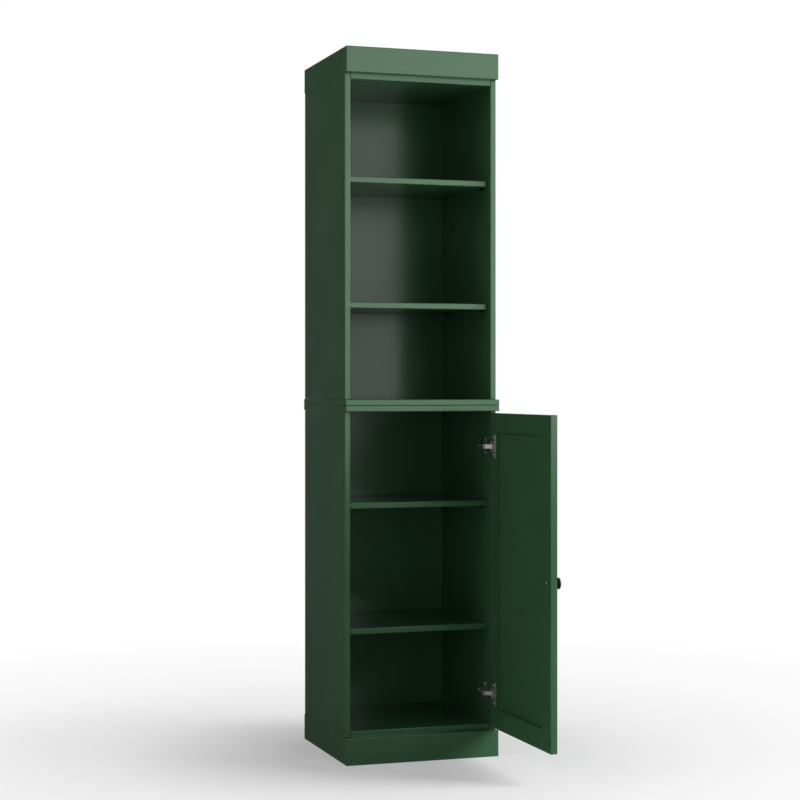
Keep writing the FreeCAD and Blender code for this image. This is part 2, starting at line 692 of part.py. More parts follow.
def hinge_cup(level, holes):
    """Pressed cup with a flange for its two screws, notched where the link swings out."""
    mouth = cup_mouth(level)
    flange_x = about(mouth.x - CUP_SCREW_OFFSET, FLANGE_WIDTH)
    flange_y = (DOOR_BACK, DOOR_BACK + FLANGE_THICKNESS)
    flange = block(flange_x, flange_y, about(level, FLANGE_LENGTH))
    flange = ease(flange, "left top", "left bottom", "right top", "right bottom")
    cup = rod(mouth, -TO_BACK, ((CUP_DEPTH, CUP_RADIUS),)).fuse(flange)
    top = mouth + TO_BACK * FLANGE_THICKNESS
    hollow = rod(top, -TO_BACK, ((FLANGE_THICKNESS + CUP_DEPTH - CUP_WALL, CUP_RADIUS - CUP_WALL),))
    notch_y = (DOOR_BACK - CUP_NOTCH_DEPTH, DOOR_BACK)
    notch = block((mouth.x, DOOR_RIGHT), notch_y, about(level, (LINK_CHEEK_OUTSIDE + LINK_PLAY) * 2))
    cup = cup.cut([hollow, notch]).removeSplitter()
    return drilled(cup, holes + pin_holes(level))


def cup_screws(level, holes):
    """Screws through the cup's flange into the hinge stile."""
    head = (SCREW_HEAD_HEIGHT, SMALL_SCREW_HEAD_RADIUS)
    shank = (SMALL_SCREW_LENGTH, SMALL_SCREW_RADIUS)
    mouth = cup_mouth(level)
    y = DOOR_BACK + FLANGE_THICKNESS + SCREW_HEAD_HEIGHT
    made = []
    for z in about(level, CUP_SCREW_SPREAD):
        made.append(fit(holes, Vector(mouth.x - CUP_SCREW_OFFSET, y, z), -TO_BACK, head, shank))
    return made


def swung_link(shape):
    """A link's piece, turned on the arm's pin with the door standing open."""
    turned = shape.copy()
    turned.rotate(ARM_PIN, UP, LINK_TURN_SHARE * OPEN_ANGLE)
    return turned


def swung_door(shape):
    """A door's piece, turned on the cup's pin and carried round by the link."""
    turned = shape.copy()
    turned.rotate(CUP_PIN, UP, (1 - LINK_TURN_SHARE) * OPEN_ANGLE)
    return swung_link(turned)


def carcass():
    """Both cases, cornice, plinth and everything fixed to them."""
    holes = []
    nodes = {}
    groups = {}
    groups["case_dowels"] = case_dowels(holes)
    groups["case_screws"] = case_screws(holes)
    groups["cam_bolts"], groups["cam_discs"] = cam_fittings(holes)
    groups["stacking_dowels"] = stacking_dowels(holes)
    groups["joining_plates"], groups["joining_plate_screws"] = joining_plates(holes)

    bracket_screws = []
    for name, share in zip(("left", "right"), BRACKET_WIDTH_SHARES):
        nodes["wall_bracket_" + name], screws = wall_bracket(holes, width_place(share))
        bracket_screws += screws
    groups["wall_bracket_screws"] = bracket_screws

    lower_z = (PLINTH_HEIGHT, BAND_UNDER)
    upper_z = (BAND_OVER, CASE_TOP)
    lower_nails = back_nails(holes, lower_z, PLINTH_HEIGHT + BOARD / 2)
    groups["back_nails"] = lower_nails + back_nails(holes, upper_z, CASE_TOP - BOARD / 2)

    block_front = (TRIM_BEHIND, TRIM_BEHIND + BLOCK_SIZE)
    plinth_blocks = (block_front, (BACK - TRIM_BOARD - BLOCK_SIZE, BACK - TRIM_BOARD))
    cornice_blocks = (block_front, (BACK_FACE - BLOCK_SIZE, BACK_FACE))
    groups["plinth_blocks"], groups["plinth_screws"] = corner_blocks(
        holes, (PLINTH_HEIGHT - PLINTH_BLOCK_HEIGHT, PLINTH_HEIGHT), plinth_blocks, True)
    groups["cornice_blocks"], groups["cornice_screws"] = corner_blocks(
        holes, (CASE_TOP, CASE_TOP + CORNICE_BLOCK_HEIGHT), cornice_blocks, False)

    bays = (
        ("lower", LOWER_FLOOR, BAND_UNDER, LOWER_SHELF_SHARES),
        ("upper", BAND_OVER, CEILING, UPPER_SHELF_SHARES),
    )
    pins = []
    for case, low, high, shares in bays:
        for name, share in zip(("low", "high"), shares):
            under = low + share * (high - low)
            nodes[case + "_shelf_" + name] = shelf(under)
            pins += shelf_pins(holes, under)
    groups["shelf_pins"] = pins

    plate_screws = []
    arm_screws = []
    for level in HINGE_LEVELS.values():
        plate_screws += hinge_plate_screws(level, holes)
        arm_screws += hinge_arm_screws(level, holes)
    groups["hinge_plate_screws"] = plate_screws
    groups["hinge_arm_screws"] = arm_screws
    groups["hinge_arm_pins"] = [arm_pin(level) for level in HINGE_LEVELS.values()]
    for name, level in HINGE_LEVELS.items():
        nodes["hinge_plate_" + name] = hinge_plate(level, holes)
        nodes["hinge_arm_" + name] = hinge_arm(level, holes + pin_holes(level))

    for name, (face, inward) in zip(("left", "right"), sides()):
        nodes["lower_side_" + name] = case_side(face, inward, lower_z, holes)
        nodes["upper_side_" + name] = case_side(face, inward, upper_z, holes)
    nodes["lower_floor_board"] = inner_board(PLINTH_HEIGHT, "top", holes)
    nodes["lower_top_board"] = band_board(BAND_UNDER, holes)
    nodes["lower_back_panel"] = back_panel(lower_z, holes)
    nodes["upper_base_board"] = band_board(LOWER_HEIGHT, holes)
    nodes["upper_top_panel"] = inner_board(CEILING, "bottom", holes)
    nodes["upper_back_panel"] = back_panel(upper_z, holes)

    cornice_z = (CASE_TOP, TOTAL_HEIGHT)
    plinth_z = (0, PLINTH_HEIGHT)
    for trim, z_span in (("cornice", cornice_z), ("plinth", plinth_z)):
        nodes[trim + "_front"] = trim_front(z_span, holes)
        for name in ("left", "right"):
            nodes[trim + "_side_" + name] = trim_side(name, z_span, holes)
    nodes["plinth_back"] = plinth_back(plinth_z, holes)
    nodes.update({name: Part.makeCompound(solids) for name, solids in groups.items()})
    return nodes


def hinge_links():
    """The two links, which swing together."""
    return {"hinge_link_" + name: hinge_link(level) for name, level in HINGE_LEVELS.items()}


def door():
    """The framed door with its knob and the hinges' cups."""
    holes = []
    nodes = {}
    screws = []
    for level in HINGE_LEVELS.values():
        screws += cup_screws(level, holes)
    for name, level in HINGE_LEVELS.items():
        nodes["hinge_cup_" + name] = hinge_cup(level, holes)
    nodes["hinge_cup_screws"] = Part.makeCompound(screws)
    nodes["hinge_cup_pins"] = Part.makeCompound([cup_pin(level) for level in HINGE_LEVELS.values()])
    nodes["knob_screw"] = knob_screw(holes)
    nodes["knob"] = knob(holes)
    for level in HINGE_LEVELS.values():
        fit(holes, cup_mouth(level), -TO_BACK, (CUP_DEPTH, CUP_RADIUS))
    nodes["door_hinge_stile"] = door_stile("right", holes)
    nodes["door_latch_stile"] = door_stile("left", holes)
    nodes["door_top_rail"] = door_rail("top")
    nodes["door_bottom_rail"] = door_rail("bottom")
    nodes["door_panel"] = door_panel()
    nodes["door_bumpers"] = Part.makeCompound(bumpers())
    return nodes


def main():
    os.makedirs("parts", exist_ok=True)
    nodes = carcass()
    nodes.update({name: swung_link(shape) for name, shape in hinge_links().items()})
    nodes.update({name: swung_door(shape) for name, shape in door().items()})
    for name, shape in nodes.items():
        shape.exportStep("parts/" + name + ".step")
    cup_pin_open = Part.Vertex(CUP_PIN)
    cup_pin_open.rotate(ARM_PIN, UP, LINK_TURN_SHARE * OPEN_ANGLE)
    print(len(nodes), "nodes; link turns on", ARM_PIN, "and the door on", cup_pin_open.Point)


main()
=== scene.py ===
import json
import math

import bpy
from mathutils import Matrix, Vector

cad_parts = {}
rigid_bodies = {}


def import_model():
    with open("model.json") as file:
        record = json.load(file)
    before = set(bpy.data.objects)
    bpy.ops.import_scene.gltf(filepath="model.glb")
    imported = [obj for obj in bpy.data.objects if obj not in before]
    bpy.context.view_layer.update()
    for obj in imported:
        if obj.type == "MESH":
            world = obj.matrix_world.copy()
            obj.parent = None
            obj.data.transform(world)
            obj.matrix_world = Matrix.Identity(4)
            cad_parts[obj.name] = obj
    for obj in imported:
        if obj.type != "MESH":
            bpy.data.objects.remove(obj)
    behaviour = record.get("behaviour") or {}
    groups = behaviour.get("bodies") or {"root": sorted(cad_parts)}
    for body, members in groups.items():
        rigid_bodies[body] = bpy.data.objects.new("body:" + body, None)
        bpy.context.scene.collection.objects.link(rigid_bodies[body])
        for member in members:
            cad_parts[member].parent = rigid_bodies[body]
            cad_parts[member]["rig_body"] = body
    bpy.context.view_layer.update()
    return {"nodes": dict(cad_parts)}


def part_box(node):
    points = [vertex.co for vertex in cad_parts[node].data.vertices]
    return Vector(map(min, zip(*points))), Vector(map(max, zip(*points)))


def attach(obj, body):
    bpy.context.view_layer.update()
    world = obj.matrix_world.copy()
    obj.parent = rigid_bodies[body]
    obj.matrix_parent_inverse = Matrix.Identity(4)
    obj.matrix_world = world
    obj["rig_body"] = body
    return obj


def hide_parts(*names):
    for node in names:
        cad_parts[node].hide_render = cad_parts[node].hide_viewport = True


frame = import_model()
nodes = frame["nodes"]
MM = 0.001

# Paint, metal, wood and plastic colours, linear
CABINET_GREEN = (0.042, 0.116, 0.054, 1)
CABINET_GREEN_PALE = (0.044, 0.120, 0.057, 1)
CABINET_GREEN_DEEP = (0.040, 0.112, 0.051, 1)
NICKEL = (0.74, 0.73, 0.70, 1)
NICKEL_DULL = (0.60, 0.59, 0.57, 1)
ZINC = (0.52, 0.53, 0.54, 1)
PIN_BLACK = (0.040, 0.042, 0.041, 1)
PIN_RUBBED = (0.055, 0.057, 0.056, 1)
KNOB_BLACK = (0.010, 0.010, 0.011, 1)
KNOB_WORN = (0.022, 0.022, 0.023, 1)
PINE_PALE = (0.62, 0.45, 0.27, 1)
PINE_DARK = (0.42, 0.26, 0.13, 1)
DOT_CLEAR = (0.060, 0.120, 0.072, 1)
DOT_CLOUDY = (0.085, 0.140, 0.096, 1)
FLOOR_PALE = (0.80, 0.80, 0.80, 1)
BACKDROP_WHITE = (1, 1, 1, 1)

# Colours along a pattern, as (place, colour) stops
LACQUER_STOPS = ((0.45, CABINET_GREEN_DEEP), (0.68, CABINET_GREEN), (0.92, CABINET_GREEN_PALE))
NICKEL_STOPS = ((0.35, NICKEL_DULL), (0.6, NICKEL))
ZINC_STOPS = ((0.35, NICKEL_DULL), (0.6, ZINC))
PIN_STOPS = ((0.35, PIN_RUBBED), (0.6, PIN_BLACK))
KNOB_STOPS = ((0.45, KNOB_BLACK), (0.75, KNOB_WORN))
PINE_STOPS = ((0.35, PINE_DARK), (0.5, PINE_PALE))
DOT_STOPS = ((0.3, DOT_CLEAR), (0.7, DOT_CLOUDY))
FLOOR_FADE = (
    (0, (0.30, 0.30, 0.30, 1)), (0.22, (0.66, 0.66, 0.66, 1)), (0.52, (0.88, 0.88, 0.88, 1)),
    (1, BACKDROP_WHITE),
)
# Where a new stop is put before it is moved to its own place
NEW_STOP_PLACE = 0.5

# Patterns, as the noise's scale and detail; most of a noise's values lie in its span
LACQUER_CLOUDS = (7.0, 4.0)
LACQUER_GRAIN = (160.0, 3.0)
BOARD_PEEL = (420.0, 2.0)
BACK_PEEL = (260.0, 2.0)
STEEL_LINES = (900.0, 2.0)
STEEL_CLOUDS = (60.0, 3.0)
KNOB_CLOUDS = (130.0, 4.0)
KNOB_PEEL = (1500.0, 2.0)
PINE_RINGS = (90.0, 3.0)
PINE_PORES = (700.0, 2.0)
DOT_CLOUDS = (400.0, 3.0)
NOISE_SPAN = (0.3, 0.7)

# Stretch of a pattern on X, Y and Z: drawn out along the axis with the small number
EVEN = (1, 1, 1)
LEVEL_GRAIN = (0.04, 1, 1)
SIDE_GRAIN = (1, 0.04, 1)
UPRIGHT_GRAIN = (1, 1, 0.04)
BACK_GRAIN = (1, 1, 0.1)
NICKEL_DRAWN = (1, 1, 0.05)
ZINC_DRAWN = (0.1, 1, 1)
PINE_LEVEL_GRAIN = (0.06, 1, 1)
PINE_UPRIGHT_GRAIN = (1, 1, 0.06)

# Roughness from smoothest to roughest, relief as depth and strength, and gloss
LACQUER_ROUGHNESS = (0.17, 0.22)
STEEL_ROUGHNESS = (0.34, 0.46)
KNOB_ROUGHNESS = (0.30, 0.45)
PINE_ROUGHNESS = (0.55, 0.75)
DOT_ROUGHNESS = (0.5, 0.65)
FLOOR_ROUGHNESS = 0.9
LACQUER_RELIEF = (0.1 * MM, 0.02)
STEEL_RELIEF = (0.05 * MM, 0.12)
KNOB_RELIEF = (0.05 * MM, 0.10)
PINE_RELIEF = (0.2 * MM, 0.25)
BOARD_GLOSS = 0.3
BACK_GLOSS = 0.25
DOT_GLOSS = 0.2
FLOOR_GLOSS = 0.1
LACQUER_GRAIN_SHARE = 0.35
DOT_CLEARNESS = 0.72

# Meshes of the copied pieces
MERGE_DISTANCE = 0.01 * MM
SLIVER = 0.002 * MM
FLAT_ANGLE = math.radians(1)
SHARP_ANGLE = math.radians(40)
EDGE_SEGMENTS = 3
EDGE_SMOOTH = math.radians(35)
FLATS_WEIGHT = 100

# How far each kind of piece has its edges eased
BOARD_EASE = 0.4 * MM
HINGE_EASES = (("plate", 0.6 * MM), ("arm", 2.2 * MM), ("link", 0.5 * MM))
CUP_EASE = 0.2 * MM
BRACKET_EASE = 0.5 * MM
JOINING_PLATE_EASE = 0.4 * MM
SHELF_PIN_EASE = 0.4 * MM
BLOCK_EASE = 1.2 * MM

# Rolled edge of a hinge cup's flange: its width, and how far in from the flange's faces it is looked for
ROLL_WIDTH = 1.3 * MM
ROLL_SEGMENTS = 4
FLANGE_FACE_DEPTH = 0.02 * MM
FLANGE_FRONT_DEPTH = 2.02 * MM

# Screws: sizes
HEAD_HEIGHT = 1.6 * MM
SMALL_HEAD, SMALL_SHANK, SMALL_LENGTH = 3.2 * MM, 1.6 * MM, 13 * MM
BLOCK_HEAD, BLOCK_SHANK = 3.8 * MM, 2.0 * MM
CORNICE_SCREW_LENGTH = 50 * MM
PLINTH_SCREW_LENGTH = 60 * MM
KNOB_SCREW_HEAD, KNOB_SCREW_SHANK, KNOB_SCREW_LENGTH = 4.0 * MM, 2.0 * MM, 27 * MM

# Screws: outline, as shares of the shank's radius, of the thread's pitch and of the head's height and radius
POINT_SHARE = 0.15
TAPER_SHARES = (2.2, 0.85)
PITCH_SHARE = 0.9
THREAD_SHARES = ((0.35, 1), (0.65, 1), (1, 0.78))
NECK_SHARES = ((0.6, 0.9), (0.02, 0.9))
HEAD_SHARES = ((0, 0.96), (0.25, 1), (0.55, 0.95), (0.85, 0.72), (1, 0.35))
SLOT_LENGTH_SHARE = 1.1
SLOT_WIDTH_SHARE = 0.24
SLOT_DEPTH_SHARE = 0.6
SLOT_FLOOR_SHARE = 0.6
SCREW_SIDES = 24
SCREW_SMOOTH = math.radians(40)
# A face looks down when its normal's Z is below this
DOWNWARD = -0.5

# Screws: places
TO_LEFT, TO_RIGHT, TO_BACK, UP, DOWN = (-1, 0, 0), (1, 0, 0), (0, 1, 0), (0, 0, 1), (0, 0, -1)
PLATE_WING = 2 * MM
PLATE_SCREW_Y = -0.335
PLATE_SCREW_RISES = (-16 * MM, 16 * MM)
ARM_SCREW_X = 0.176
ARM_SCREW_YS = (-0.346, -0.322)
CUP_SCREW_RISES = (-22.5 * MM, 22.5 * MM)
SEAM_HEIGHT = 900 * MM
JOINING_PLATE_XS = (-113.68 * MM, 113.68 * MM)
JOINING_SCREW_SHIFTS = (-11 * MM, 11 * MM)
JOINING_SCREW_RISES = (-7.5 * MM, 7.5 * MM)
BRACKET_XS = (-121.8 * MM, 121.8 * MM)
BRACKET_SCREW_YS = (-14.7 * MM, -31.5 * MM)

# Knob: height and radius of each turned ring, in millimetres from the door's face
KNOB_RINGS = (
    (0, 7.9), (0.4, 8.2), (1.3, 8.2), (1.8, 7.8), (2.1, 7.0), (3.9, 6.1), (6.4, 5.9), (8.2, 6.8), (9.6, 8.7),
    (10.7, 11.0), (11.4, 13.0), (11.9, 13.7), (12.7, 14.0), (14.0, 14.0), (14.8, 13.7), (15.5, 12.7),
    (16.4, 10.5), (17.2, 7.4), (17.7, 4.0), (17.9, 1.2),
)
KNOB_SIDES = 64
KNOB_SMOOTH = math.radians(30)

# Studio: a wide pale floor that fades out round a point, a white backdrop and a dark screen in a grey room
FLOOR_SIZE = 60
FADE_CENTRE = (0, -0.3, 0)
FADE_SPAN = (0.3, 2.4)
BACKDROP_WAY = (0.3158, 0.9488, 0)
BACKDROP_EDGE = (0.88, 0.96)
SCREEN_WAY = (-0.3158, 0.9488, 0)
SCREEN_EDGE = (0.88, 0.97)
ROOM_GREY = 0.115
SCREEN_GREY = 0.045

# Soft lamps: name, place, aim, width, height and watts
SOFTBOXES = (
    ("key_softbox", (3.2, -2.2, 2.4), (0, -0.37, 0.9), 1.8, 2.4, 172),
    ("front_softbox", (1.45, -4.45, 1.8), (0, -0.37, 1.8), 1.8, 2.3, 44),
    ("near_softbox", (-2.6, -4.6, 1.7), (0, -0.37, 0.9), 1.6, 2.0, 18),
    ("left_fill", (-3.6, -0.6, 2.6), (0, -0.2, 0.9), 2.2, 2.2, 32),
)

# Camera, level and a little to the left of the cabinet's front
CAMERA_PLACE = (-1.5697, -4.9176, 0.9474)
CAMERA_TURN = (math.radians(90), 0, math.radians(-18.408))
SENSOR_WIDTH = 36
FOCAL_LENGTH = 85.24
LENS_SHIFT = -0.0165


def fresh_material(name):
    """A material with only its shader and output, and the object's own coordinates."""
    material = bpy.data.materials.new(name)
    material.use_nodes = True
    tree = material.node_tree
    tree.nodes.clear()
    output = tree.nodes.new("ShaderNodeOutputMaterial")
    shader = tree.nodes.new("ShaderNodeBsdfPrincipled")
    tree.links.new(shader.outputs["BSDF"], output.inputs["Surface"])
    place = tree.nodes.new("ShaderNodeTexCoord")
    return material, tree, shader, place.outputs["Object"]


def speckle(tree, place, pattern, stretch=EVEN):
    """Noise on the object's own coordinates, stretched along its axes."""
    scale, detail = pattern
    mapping = tree.nodes.new("ShaderNodeMapping")
    mapping.inputs["Scale"].default_value = stretch
    noise = tree.nodes.new("ShaderNodeTexNoise")
    noise.inputs["Scale"].default_value = scale
    noise.inputs["Detail"].default_value = detail
    tree.links.new(place, mapping.inputs["Vector"])
    tree.links.new(mapping.outputs["Vector"], noise.inputs["Vector"])
    return noise.outputs["Fac"]


def spread(tree, value, span, to_low, to_high):
    """A value's span moved to another one."""
    node = tree.nodes.new("ShaderNodeMapRange")
    node.inputs["From Min"].default_value = span[0]
    node.inputs["From Max"].default_value = span[1]
    node.inputs["To Min"].default_value = to_low
    node.inputs["To Max"].default_value = to_high
    tree.links.new(value, node.inputs["Value"])
    return node.outputs["Result"]


def reckon(tree, operation, *values):
    """The result of an operation on values that are numbers or other nodes' outputs."""
    node = tree.nodes.new("ShaderNodeMath")
    node.operation = operation
    for value, entry in zip(values, node.inputs):
        if isinstance(value, (int, float)):
            entry.default_value = value
        else:
            tree.links.new(value, entry)
    return node.outputs["Value"]


def blend_colours(tree, value, stops):
    """Colours along a value, as (place, colour) stops."""
    ramp = tree.nodes.new("ShaderNodeValToRGB")
    elements = ramp.color_ramp.elements
    while len(elements) < len(stops):
        elements.new(NEW_STOP_PLACE)
    for element, (place, colour) in zip(elements, stops):
        element.position = place
        element.color = colour
    tree.links.new(value, ramp.inputs["Fac"])
    return ramp.outputs["Color"]


def colour_by(tree, shader, value, stops):
    tree.links.new(blend_colours(tree, value, stops), shader.inputs["Base Color"])


def roughen_by(tree, shader, value, roughness):
    tree.links.new(spread(tree, value, NOISE_SPAN, *roughness), shader.inputs["Roughness"])


def raise_by(tree, shader, value, relief):
    """A fine relief on the shader's normal."""
    depth, strength = relief
    bump = tree.nodes.new("ShaderNodeBump")
    bump.inputs["Distance"].default_value = depth
    bump.inputs["Strength"].default_value = strength
    tree.links.new(value, bump.inputs["Height"])
    tree.links.new(bump.outputs["Normal"], shader.inputs["Normal"])


def sprayed_green(name, grain_way, peel, gloss):
    """Satin lacquer over board: a faint orange peel, a trace of the board's grain, and cloudy colour."""
    material, tree, shader, place = fresh_material(name)
    clouds = speckle(tree, place, LACQUER_CLOUDS)
    grain = speckle(tree, place, LACQUER_GRAIN, grain_way)
    tint = reckon(tree, "MULTIPLY_ADD", grain, LACQUER_GRAIN_SHARE, clouds)
    colour_by(tree, shader, tint, LACQUER_STOPS)
    roughen_by(tree, shader, clouds, LACQUER_ROUGHNESS)
    raise_by(tree, shader, speckle(tree, place, peel), LACQUER_RELIEF)
    shader.inputs["Specular IOR Level"].default_value = gloss
    return material


def plated_steel(name, stops, drawn_way):
    """Plate or blackening over pressed steel, with fine drawing lines and a little cloudiness."""
    material, tree, shader, place = fresh_material(name)
    lines = speckle(tree, place, STEEL_LINES, drawn_way)
    colour_by(tree, shader, speckle(tree, place, STEEL_CLOUDS), stops)
    roughen_by(tree, shader, lines, STEEL_ROUGHNESS)
    raise_by(tree, shader, lines, STEEL_RELIEF)
    shader.inputs["Metallic"].default_value = 1.0
    return material


def black_lacquer():
    """Satin black coat on the knob, rubbed a little paler in patches."""
    material, tree, shader, place = fresh_material("knob_lacquer")
    clouds = speckle(tree, place, KNOB_CLOUDS)
    colour_by(tree, shader, clouds, KNOB_STOPS)
    roughen_by(tree, shader, clouds, KNOB_ROUGHNESS)
    raise_by(tree, shader, speckle(tree, place, KNOB_PEEL), KNOB_RELIEF)
    return material


def planed_pine(name, grain_way):
    """Bare softwood with growth rings drawn out along its length."""
    material, tree, shader, place = fresh_material(name)
    pores = speckle(tree, place, PINE_PORES, grain_way)
    colour_by(tree, shader, speckle(tree, place, PINE_RINGS, grain_way), PINE_STOPS)
    roughen_by(tree, shader, pores, PINE_ROUGHNESS)
    raise_by(tree, shader, pores, PINE_RELIEF)
    return material


def soft_dot():
    """Cloudy, half-clear soft plastic of the door's bumpers."""
    material, tree, shader, place = fresh_material("buffer_plastic")
    clouds = speckle(tree, place, DOT_CLOUDS)
    colour_by(tree, shader, clouds, DOT_STOPS)
    roughen_by(tree, shader, clouds, DOT_ROUGHNESS)
    shader.inputs["Transmission Weight"].default_value = DOT_CLEARNESS
    shader.inputs["Specular IOR Level"].default_value = DOT_GLOSS
    return material


def deselect():
    bpy.ops.object.select_all(action="DESELECT")


def only(piece):
    """This piece selected and active, nothing else."""
    deselect()
    piece.select_set(True)
    bpy.context.view_layer.objects.active = piece


def edit_mesh(select):
    """Edit mode on the active piece, with all of its mesh selected or none."""
    bpy.ops.object.mode_set(mode="EDIT")
    bpy.ops.mesh.select_all(action=select)


def leave_mesh():
    bpy.ops.object.mode_set(mode="OBJECT")


def settle(piece):
    """The piece's place, turn and size go into its mesh."""
    only(piece)
    bpy.ops.object.transform_apply(location=True, rotation=True, scale=True)


def apply_modifiers(piece):
    only(piece)
    for modifier in list(piece.modifiers):
        bpy.ops.object.modifier_apply(modifier=modifier.name)


def smooth(piece, angle):
    only(piece)
    bpy.ops.object.shade_smooth_by_angle(angle=angle)


def dress(piece, material):
    piece.data.materials.clear()
    piece.data.materials.append(material)


def turned(name, rings, sides):
    """A piece turned about +Z: rings of (height, radius) from its foot to its crown."""
    deselect()
    height, radius = rings[0]
    foot = (0, 0, height)
    bpy.ops.mesh.primitive_circle_add(vertices=sides, radius=radius, fill_type="NGON", location=foot)
    piece = bpy.context.object
    piece.name = name
    settle(piece)
    edit_mesh("SELECT")
    for next_height, next_radius in rings[1:]:
        rise = (0, 0, next_height - height)
        bpy.ops.mesh.extrude_region_move(TRANSFORM_OT_translate={"value": rise})
        share = next_radius / radius
        bpy.ops.transform.resize(value=(share, share, 1), center_override=(0, 0, next_height))
        height, radius = next_height, next_radius
    bpy.ops.mesh.select_all(action="SELECT")
    bpy.ops.mesh.normals_make_consistent(inside=False)
    leave_mesh()
    return piece


def cross_slot(piece, top, length, width, depth):
    """A cross slot for a driver, cut into the top of a screw's head and narrower at its floor."""
    cutters = []
    for size in ((length, width, depth * 2), (width, length, depth * 2)):
        deselect()
        bpy.ops.mesh.primitive_cube_add(size=1, location=(0, 0, top))
        cutter = bpy.context.object
        cutter.scale = size
        settle(cutter)
        edit_mesh("DESELECT")
        leave_mesh()
        for polygon in cutter.data.polygons:
            polygon.select = polygon.normal.z < DOWNWARD
        bpy.ops.object.mode_set(mode="EDIT")
        narrow = (SLOT_FLOOR_SHARE, SLOT_FLOOR_SHARE, 1)
        bpy.ops.transform.resize(value=narrow, center_override=(0, 0, top - depth))
        leave_mesh()
        cutters.append(cutter)
    for cutter in cutters:
        slot = piece.modifiers.new("slot", "BOOLEAN")
        slot.operation = "DIFFERENCE"
        slot.solver = "EXACT"
        slot.object = cutter
    apply_modifiers(piece)
    for cutter in cutters:
        bpy.data.objects.remove(cutter)


def pan_screw(name, head, shank, length):
    """A cross-head screw along -Z, the underside of its domed head at z = 0, ending in a point."""
    taper, taper_top = TAPER_SHARES
    z = -length + shank * taper
    rings = [(-length, shank * POINT_SHARE), (z, shank * taper_top)]
    pitch = shank * PITCH_SHARE
    while z + pitch < -shank:
        rings += [(z + pitch * rise, shank * radius) for rise, radius in THREAD_SHARES]
        z += pitch
    rings += [(-shank * depth, shank * radius) for depth, radius in NECK_SHARES]
    rings += [(HEAD_HEIGHT * rise, head * radius) for rise, radius in HEAD_SHARES]
    screw = turned(name, rings, SCREW_SIDES)
    slot_depth = HEAD_HEIGHT * SLOT_DEPTH_SHARE
    cross_slot(screw, HEAD_HEIGHT, head * SLOT_LENGTH_SHARE, head * SLOT_WIDTH_SHARE, slot_depth)
    smooth(screw, SCREW_SMOOTH)
    return screw


def copies_at(name, model, spots):
    """Copies of one model joined into a piece; a spot is a point and the direction of the model's +Z."""
    made = []
    for point, direction in spots:
        copy = model.copy()
        copy.data = model.data.copy()
        bpy.context.scene.collection.objects.link(copy)
        turn = Vector(direction).to_track_quat("Z", "Y").to_matrix().to_4x4()
        copy.matrix_world = Matrix.Translation(Vector(point)) @ turn
        made.append(copy)
    bpy.context.view_layer.update()
    deselect()
    for copy in made:
        copy.select_set(True)
    bpy.context.view_layer.objects.active = made[0]
    if len(made) > 1:
        bpy.ops.object.join()
    piece = bpy.context.object
    piece.name = name
    settle(piece)
    return piece


def stand_in(piece, node, material):
    """The piece takes a node's place on its body, with its finish."""
    dress(piece, material)
    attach(piece, nodes[node]["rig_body"])
    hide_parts(node)


def screw_set(node, screw, spots, material):
    """Copies of a screw stand in for a node of screws."""
    piece = copies_at(node.removesuffix("s") + "_set", screw, spots)
    stand_in(piece, node, material)


def block_screws(node, length, direction):
    """Long screws at the four corners of their node's box, their heads at its top or its bottom."""
    screw = pan_screw("block_screw", BLOCK_HEAD, BLOCK_SHANK, length)
    low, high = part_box(node)
    seat = high.z - HEAD_HEIGHT if direction == UP else low.z + HEAD_HEIGHT
    spots = []
    for x in (low.x + BLOCK_HEAD, high.x - BLOCK_HEAD):
        for y in (low.y + BLOCK_HEAD, high.y - BLOCK_HEAD):
            spots.append(((x, y, seat), direction))
    screw_set(node, screw, spots, zinc)
    bpy.data.objects.remove(screw)


def plain_copy(node):
    """A copy of a pressed or sawn piece, its triangles merged into flats."""
    deselect()
    piece = nodes[node].copy()
    piece.data = nodes[node].data.copy()
    for key in list(piece.keys()):
        del piece[key]
    piece.parent = None
    piece.name = node + "_eased"
    bpy.context.scene.collection.objects.link(piece)
    only(piece)
    edit_mesh("SELECT")
    bpy.ops.mesh.remove_doubles(threshold=MERGE_DISTANCE)
    bpy.ops.mesh.dissolve_limited(angle_limit=FLAT_ANGLE)
    leave_mesh()
    return piece


def ease_edges(piece, width):
    """All sharp edges rounded over; the flats between them stay flat."""
    edges = piece.modifiers.new("edges", "BEVEL")
    edges.width = width
    edges.segments = EDGE_SEGMENTS
    edges.limit_method = "ANGLE"
    edges.angle_limit = SHARP_ANGLE
    apply_modifiers(piece)
    edit_mesh("SELECT")
    bpy.ops.mesh.dissolve_degenerate(threshold=SLIVER)
    leave_mesh()
    smooth(piece, EDGE_SMOOTH)
    flats = piece.modifiers.new("flats", "WEIGHTED_NORMAL")
    flats.weight = FLATS_WEIGHT
    flats.keep_sharp = True
    apply_modifiers(piece)
    return piece


def ease(node, width, material):
    """A node is replaced by its copy with eased edges."""
    stand_in(ease_edges(plain_copy(node), width), node, material)


def roll_rim(cup):
    """The flange's front edge rolled over, as the press leaves it."""
    corners = [vertex.co.copy() for vertex in cup.data.vertices]
    inner = min(corner.x for corner in corners) + FLANGE_FACE_DEPTH
    front = min(corner.y for corner in corners) + FLANGE_FRONT_DEPTH
    only(cup)
    bpy.ops.object.mode_set(mode="EDIT")
    bpy.ops.mesh.select_mode(type="EDGE")
    bpy.ops.mesh.select_all(action="DESELECT")
    leave_mesh()
    for edge in cup.data.edges:
        ends = [corners[index] for index in edge.vertices]
        edge.select = all(end.x < inner and end.y < front for end in ends)
    bpy.ops.object.mode_set(mode="EDIT")
    bpy.ops.mesh.bevel(offset=ROLL_WIDTH, segments=ROLL_SEGMENTS, affect="EDGES")
    leave_mesh()


